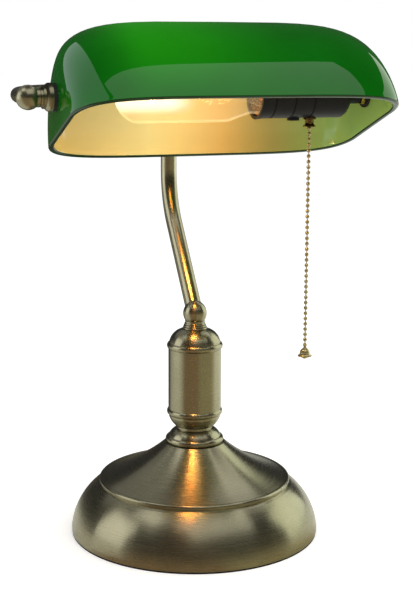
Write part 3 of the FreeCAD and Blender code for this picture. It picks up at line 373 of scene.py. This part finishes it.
def clear_glass(name, painted_glow_strength, core=0.0):
    """Thin clear glass: nearly unseen face on, with painted glow emission that is strongest at its
    edges and in a painted white patch near the filament.
    """
    nodes = Nodes(name)
    facing = nodes.add("ShaderNodeLayerWeight", Blend=0.35).outputs["Facing"]
    ripple = nodes.noise(nodes.place(), 90.0, 2.0)
    place = nodes.split(nodes.place())
    # Painted glare: a white patch of emission on the glass near the filament.
    painted_core_glow = nodes.math("MULTIPLY", nodes.span(place["X"], CORE_FAR, CORE_NEAR),
                     nodes.span(place["Z"], CORE_BOTTOM, CORE_TOP, 0.0, core))
    nodes.set(Base_Color=nodes.ramp(ripple, (0.3, (0.25, 0.19, 0.10, 1)),
                                    (0.7, (0.32, 0.25, 0.14, 1))))
    nodes.set(Roughness=0.03, IOR=1.45)
    nodes.set(Alpha=nodes.math("MAXIMUM", nodes.span(facing, 0.45, 1.0, 0.05, 0.70), painted_core_glow))
    nodes.set(Emission_Color=nodes.blend(painted_core_glow, (1.0, 0.78, 0.42, 1), (3.0, 2.6, 1.9, 1)))
    nodes.set(Emission_Strength=painted_glow_strength)
    return nodes.material


def black_glass(name):
    nodes = Nodes(name)
    swirl = nodes.noise(nodes.place(), 300.0, 3.0)
    nodes.set(Base_Color=nodes.ramp(swirl, (0.3, (0.008, 0.008, 0.012, 1)),
                                    (0.7, (0.02, 0.02, 0.03, 1))), Roughness=0.15)
    return nodes.material


def hot_filament(name):
    nodes = Nodes(name)
    flicker = nodes.noise(nodes.place(), 900.0, 2.0)
    nodes.set(Base_Color=(1.0, 0.6, 0.3, 1), Emission_Strength=60.0)
    nodes.set(Emission_Color=nodes.ramp(flicker, (0.2, (1, 0.50, 0.16, 1)),
                                        (0.8, (1, 0.72, 0.36, 1))))
    return nodes.material


# --- dressing the CAD nodes -------------------------------------------------------------

def dress(material, *names):
    """Give carried-over CAD nodes a material in place of their own."""
    for name in names:
        item = NODES[name]
        for slot in item.material_slots:
            slot.material = material


def dress_nodes():
    stand = brushed_brass("turned_brass")
    dress(stand, "base_shell", "base_collar", "post_foot", "post_tube", "post_cap", "arm_foot")
    tube = brushed_brass("tube_brass", anisotropy=0.0, rough=0.24, relief=0.015)
    dress(tube, "arm_tube", "yoke_hub", "yoke_left", "yoke_right")
    side = brushed_brass("pivot_brass", PIVOT, "X", 0.32, 0.3)
    dress(side, "pivot_ball_left", "pivot_ball_right", "left_flange", "right_thrust_ring")
    chain = [name for name in NODES if name.startswith("chain_") and name != "chain_guide"]
    dress(yellow_brass("chain_brass", (0.34, 0.27, 0.11, 1), (0.58, 0.50, 0.27, 1), 0.75),
          "pull_bell", *chain)
    dress(yellow_brass("yellow_brass"), "left_lock_nut", "right_lock_nut", "screw_shell",
          "centre_contact", "switch_lever", "switch_cam")
    dress(yellow_brass("guide_brass", (0.10, 0.065, 0.025, 1), (0.26, 0.18, 0.07, 1)),
          "chain_guide")
    dress(steel("zinc_steel"), "centre_rod", "rod_washer", "rod_nut", "left_pin",
          "right_nipple", "switch_axle", "return_spring", "terminal_screws")
    dress(yellow_brass("cap_brass", (0.62, 0.30, 0.08, 1), (0.90, 0.52, 0.20, 1)),
          "bulb_cap", "bulb_tip_contact")
    dress(cast_iron("cast_iron"), "base_weight")
    dress(moulded_black("moulded_black"), "holder_body", "holder_cap", "cord_bushing")
    dress(black_rubber("black_rubber"), "left_outer_washer", "left_inner_washer",
          "right_outer_washer", "right_inner_washer")
    dress(black_felt("black_felt"), "base_pad")
    dress(white_ceramic("white_ceramic"), "holder_core")
    # The bulb and stem glass carry painted glow emission that stands in for the filament's light.
    dress(clear_glass("bulb_envelope", 0.5, 0.8), "bulb_glass")
    dress(clear_glass("stem_glass", 0.6), "bulb_stem")
    dress(black_glass("black_glass"), "bulb_insulator")
    dress(hot_filament("hot_filament"), "bulb_filament")


# --- glass shade ------------------------------------------------------------------------

SHADE_HALF_LENGTH = 110.4 * MM
SHADE_HALF_WIDTH = 65.2 * MM
SHADE_HEIGHT = 72.5 * MM
SHADE_WALL = 3.6 * MM
SHADE_PLAN_POWER = 4.8
SHADE_ARCH_POWER = 1.62
SHADE_END_SHARE = 0.5
SHADE_LEAN = math.radians(21.04)
SHADE_PLACE = Vector((0, -56.15 * MM, 296.5 * MM))
SHADE_HOLE = 4.2 * MM
RIM_ROUND = 1.1 * MM
ALONG_STEPS = 48
ARCH_STEPS = 72
RIM_STEPS = 8
HOLE_STEPS = 32
CRISP_ANGLE = math.radians(35)
GREEN, OPAL, RIM = 0, 1, 2


def shade_spot(along_share, angle, inset):
    """A point of the shade's outside, or of its inside at an inset, in the shade's own axes."""
    across = 1 - (1 - SHADE_END_SHARE) * along_share ** 2
    power = SHADE_PLAN_POWER
    along = max((1 - across ** power) / (1 - SHADE_END_SHARE ** power), 0.0) ** (1 / power)
    arch = 2 / SHADE_ARCH_POWER
    side = math.cos(angle)
    width = (SHADE_HALF_WIDTH - inset) * across
    height = (SHADE_HEIGHT - inset) * across
    return Vector((
        math.copysign(along, along_share) * (SHADE_HALF_LENGTH - inset),
        -math.copysign(abs(side) ** arch, side) * width,
        max(max(math.sin(angle), 0.0) ** arch * height, RIM_ROUND),
    ))


def eased(step, steps):
    """Steps from -1 to 1 that crowd towards the ends."""
    return math.sin(math.pi / 2 * (2 * step / steps - 1))


def shade_skin(mesh, inset):
    """Grid of one skin, without its flat ends."""
    rows = []
    for row in range(ALONG_STEPS + 1):
        share = eased(row, ALONG_STEPS)
        spots = [shade_spot(share, math.pi * step / ARCH_STEPS, inset)
                 for step in range(ARCH_STEPS + 1)]
        rows.append([mesh.verts.new(spot) for spot in spots])
    return rows


def quads(mesh, rows, material, closed=False):
    """Join neighbouring rows with four-sided faces; closed joins each row's ends too."""
    for first, second in zip(rows, rows[1:]):
        pairs = list(zip(first, second))
        if closed:
            pairs.append(pairs[0])
        for (a, b), (c, d) in zip(pairs, pairs[1:]):
            mesh.faces.new((a, b, d, c)).material_index = material


def skin_outline(mesh, rows):
    """The bottom edge of a skin as one closed ring, and the arch and base of each end."""
    first, last = rows[0], rows[-1]
    count = ARCH_STEPS // 3

    def base(start, end):
        return [mesh.verts.new(start.co.lerp(end.co, step / count)) for step in range(1, count)]

    right = base(last[0], last[-1])
    left = base(first[-1], first[0])
    front = [row[0] for row in rows]
    back = [row[-1] for row in reversed(rows)]
    ring = front + right + back + left
    ends = [first + left, last + right[::-1]]
    return ring, ends


def end_cap(mesh, loop, material, axis_spot):
    """Fill a flat end round its pin hole and return the hole's ring."""
    out = loop[0].co.x
    hole = []
    for step in range(HOLE_STEPS):
        angle = 2 * math.pi * step / HOLE_STEPS
        hole.append(mesh.verts.new((out, axis_spot.y + SHADE_HOLE * math.cos(angle),
                                    axis_spot.z + SHADE_HOLE * math.sin(angle))))
    edges = []
    for ring in (loop, hole):
        for a, b in zip(ring, ring[1:] + ring[:1]):
            edges.append(mesh.edges.get((a, b)) or mesh.edges.new((a, b)))
    filled = bmesh.ops.triangle_fill(mesh, use_beauty=True, use_dissolve=False, edges=edges)
    for part in filled["geom"]:
        if isinstance(part, bmesh.types.BMFace):
            part.material_index = material
    return hole


def round_rim(mesh, outer, inner):
    """Half-round edge below, from the outer skin's bottom edge to the inner one's."""
    rows = [outer]
    for step in range(1, RIM_STEPS):
        angle = math.pi * step / RIM_STEPS
        share = (1 - math.cos(angle)) / 2
        drop = Vector((0, 0, -RIM_ROUND * math.sin(angle)))
        rows.append([mesh.verts.new(a.co.lerp(b.co, share) + drop)
                     for a, b in zip(outer, inner)])
    rows.append(inner)
    quads(mesh, rows, RIM, closed=True)


def build_shade():
    """Cased glass trough: green outside, opal inside and a rounded dark rim."""
    mesh = bmesh.new()
    lean = Matrix.Translation(SHADE_PLACE) @ Matrix.Rotation(-SHADE_LEAN, 4, "X")
    axis_spot = lean.inverted() @ Vector((0, PIVOT.y, PIVOT.z))
    rings = []
    holes = []
    for inset, material in ((0.0, GREEN), (SHADE_WALL, OPAL)):
        rows = shade_skin(mesh, inset)
        quads(mesh, rows, material)
        ring, ends = skin_outline(mesh, rows)
        rings.append(ring)
        holes.append([end_cap(mesh, end, material, axis_spot) for end in ends])
    round_rim(mesh, *rings)
    for outer, inner in zip(holes[0], holes[1]):
        quads(mesh, [outer, inner], RIM, closed=True)
    bmesh.ops.recalc_face_normals(mesh, faces=mesh.faces)
    mesh.transform(lean)
    data = bpy.data.meshes.new("cased_glass")
    mesh.to_mesh(data)
    mesh.free()
    for material in (green_glass("green_glass"), opal_glass("opal_glass"), rim_glass("rim_glass")):
        data.materials.append(material)
    shade = bpy.data.objects.new("cased_glass", data)
    bpy.context.scene.collection.objects.link(shade)
    data.shade_smooth()
    bpy.context.view_layer.objects.active = shade
    sharp = shade.modifiers.new("crisp_edges", "EDGE_SPLIT")
    sharp.split_angle = CRISP_ANGLE
    sharp.use_edge_sharp = False
    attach(shade, "shade")
    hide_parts("glass_shade")
    return shade


# --- stage and lights -------------------------------------------------------------------

FLOOR_HALF = 12.0
# Floor tones that only glossy rays see: painted reflection cards that set the dark and bright
# bands on the brass.
FLOOR_DARK = (0.10, 0.09, 0.07, 1)
FLOOR_BROWN = (0.41, 0.30, 0.20, 1)
FLOOR_MIDDLE = (0.52, 0.47, 0.31, 1)
FLOOR_PALE = (0.85, 0.85, 0.78, 1)
PAINTED_REFLECTION_CARDS = (
    (-160, FLOOR_DARK), (-135, FLOOR_PALE), (-80, FLOOR_PALE), (-62, FLOOR_BROWN),
    (-8, FLOOR_BROWN), (5, FLOOR_MIDDLE), (58, FLOOR_MIDDLE), (78, FLOOR_PALE),
    (138, FLOOR_PALE), (165, FLOOR_DARK),
)


def build_floor():
    """Pale paper sweep, evenly bright; glossy rays alone see painted reflection cards on it, dark,
    brown and pale by azimuth round the lamp.
    """
    nodes = Nodes("pale_floor")
    grain = nodes.noise(nodes.place(), 3.0, 2.0)
    nodes.set(Base_Color=nodes.ramp(grain, (0.2, grey(0.88)), (0.8, grey(0.90))), Roughness=0.8)
    nodes.set(Specular_IOR_Level=0.1, Emission_Color=grey(1.0), Emission_Strength=0.30)
    # Painted reflection: by azimuth, glossy rays see dark, brown and pale cards in place of the
    # pale floor.
    spot = nodes.split(nodes.place())
    turn = nodes.math("ARCTAN2", spot["X"], nodes.math("MULTIPLY", spot["Y"], -1.0))
    share = nodes.math("ADD", nodes.math("DIVIDE", turn, 2 * math.pi), 0.5)
    painted_reflection_tone = nodes.ramp(share, *[((azimuth + 180) / 360, colour) for azimuth, colour in PAINTED_REFLECTION_CARDS])
    dim = nodes.add("ShaderNodeBsdfDiffuse", Color=painted_reflection_tone)
    path = nodes.add("ShaderNodeLightPath")
    mix = nodes.add("ShaderNodeMixShader")
    nodes.feed(mix.inputs[0], path.outputs["Is Glossy Ray"])
    nodes.tree.links.new(nodes.shader.outputs[0], mix.inputs[1])
    nodes.tree.links.new(dim.outputs[0], mix.inputs[2])
    nodes.tree.links.new(mix.outputs[0], nodes.tree.nodes["Material Output"].inputs[0])
    data = bpy.data.meshes.new("floor")
    corners = [(x * FLOOR_HALF, y * FLOOR_HALF, 0)
               for x, y in ((-1, -1), (1, -1), (1, 1), (-1, 1))]
    data.from_pydata(corners, [], [(0, 1, 2, 3)])
    data.materials.append(nodes.material)
    floor = bpy.data.objects.new("floor", data)
    bpy.context.scene.collection.objects.link(floor)


WORLD_MATT, WORLD_GLOSSY, WORLD_SEEN = 0.85, 0.05, 1.0


def build_world():
    """White to the eye, soft white to matt surfaces and a dim studio to glossy ones."""
    world = bpy.data.worlds.new("studio")
    bpy.context.scene.world = world
    world.use_nodes = True
    tree = world.node_tree
    tree.nodes.clear()
    path = tree.nodes.new("ShaderNodeLightPath")
    views = []
    for strength in (WORLD_MATT, WORLD_GLOSSY, WORLD_SEEN):
        back = tree.nodes.new("ShaderNodeBackground")
        back.inputs["Color"].default_value = grey(1.0)
        back.inputs["Strength"].default_value = strength
        views.append(back.outputs[0])
    shader = views[0]
    for ray, view in (("Is Glossy Ray", views[1]), ("Is Camera Ray", views[2])):
        mix = tree.nodes.new("ShaderNodeMixShader")
        tree.links.new(path.outputs[ray], mix.inputs[0])
        tree.links.new(shader, mix.inputs[1])
        tree.links.new(view, mix.inputs[2])
        shader = mix.outputs[0]
    out = tree.nodes.new("ShaderNodeOutputWorld")
    tree.links.new(shader, out.inputs["Surface"])


LIGHT_AIM = Vector((0, 0, 0.22))
WHITE = (1.0, 1.0, 1.0)
# name, azimuth, elevation, distance, width, height, power, colour and what it reaches
SOFT_BOXES = (
    ("front_box", 16, 61, 1.3, 1.5, 1.10, 5.0, WHITE, "all"),
    ("right_box", 100, 14, 1.2, 1.1, 0.9, 4.8, (0.95, 1.0, 0.86), "all"),
    ("left_box", -96, 31, 1.1, 3.1, 1.35, 13.0, (0.86, 0.94, 1.0), "glass"),
    ("back_right_box", 118, 52, 1.3, 0.8, 0.6, 1.7, WHITE, "stand"),
    ("back_left_box", -168, 40, 1.3, 1.2, 0.8, 0.8, WHITE, "stand"),
    ("left_fill_box", -104, 16, 1.2, 0.8, 0.9, 3.6, WHITE, "stand"),
    ("left_top_box", -96, 58, 1.3, 0.7, 0.5, 1.7, WHITE, "stand"),
)


def soft_box(name, azimuth, elevation, distance, width, height, power, colour):
    """Rectangular light aimed at the lamp's middle, placed by azimuth and elevation."""
    data = bpy.data.lights.new(name, "AREA")
    data.shape = "RECTANGLE"
    data.size = width
    data.size_y = height
    data.energy = power
    data.color = colour
    light = bpy.data.objects.new(name, data)
    turn, rise = math.radians(azimuth), math.radians(elevation)
    place = LIGHT_AIM + distance * Vector((
        math.sin(turn) * math.cos(rise), -math.cos(turn) * math.cos(rise), math.sin(rise)))
    light.location = place
    light.rotation_euler = (LIGHT_AIM - place).to_track_quat("-Z", "Y").to_euler()
    light.visible_camera = False
    bpy.context.scene.collection.objects.link(light)
    return light


def reach_only(light, items):
    """Flag a light off from everything but these objects."""
    reached = bpy.data.collections.new(light.name + "_reach")
    for item in items:
        reached.objects.link(item)
    light.light_linking.receiver_collection = reached


def stand_pieces():
    return [NODES[name] for name in frame["record"]["behaviour"]["bodies"]["stand"]]


def build_lights(shade):
    reached = {"glass": [shade], "stand": stand_pieces()}
    for *settings, reach in SOFT_BOXES:
        light = soft_box(*settings)
        if reach != "all":
            reach_only(light, reached[reach])


GLOW_SHARES = (0.18, 0.45, 0.72)
GLOW_COLOUR, GLOW_POWER, GLOW_RADIUS = (1.0, 0.62, 0.26), 0.057, 0.006
GLINT_SHARE = 0.34
GLINT_COLOUR, GLINT_POWER, GLINT_RADIUS = (1.0, 0.24, 0.004), 0.60, 0.020


def bulb_point(name, share, colour, power, radius):
    """Round light on the bulb's axis, at a share of its length, that rides with the bulb."""
    data = bpy.data.lights.new(name, "POINT")
    data.energy = power
    data.color = colour
    data.shadow_soft_size = radius
    light = bpy.data.objects.new(name, data)
    light.location = (BULB_LOW.x + (BULB_HIGH.x - BULB_LOW.x) * share, PIVOT.y, PIVOT.z)
    light.parent = frame["bodies"]["bulb"]
    light.matrix_parent_inverse = frame["bodies"]["bulb"].matrix_world.inverted()
    light.visible_camera = False
    bpy.context.scene.collection.objects.link(light)
    return light


def build_bulb_light():
    """Warm light in a short row inside the bulb, and its deeper glint on polished metal."""
    for number, share in enumerate(GLOW_SHARES, 1):
        bulb_point("bulb_glow_%d" % number, share, GLOW_COLOUR, GLOW_POWER, GLOW_RADIUS)
    glint = bulb_point("bulb_glint", GLINT_SHARE, GLINT_COLOUR, GLINT_POWER, GLINT_RADIUS)
    glint.visible_diffuse = False
    reach_only(glint, stand_pieces())


# --- the scene --------------------------------------------------------------------------

add_camera()
bpy.context.scene.view_settings.view_transform = "Standard"
dress_nodes()
glass = build_shade()
build_floor()
build_world()
build_lights(glass)
build_bulb_light()
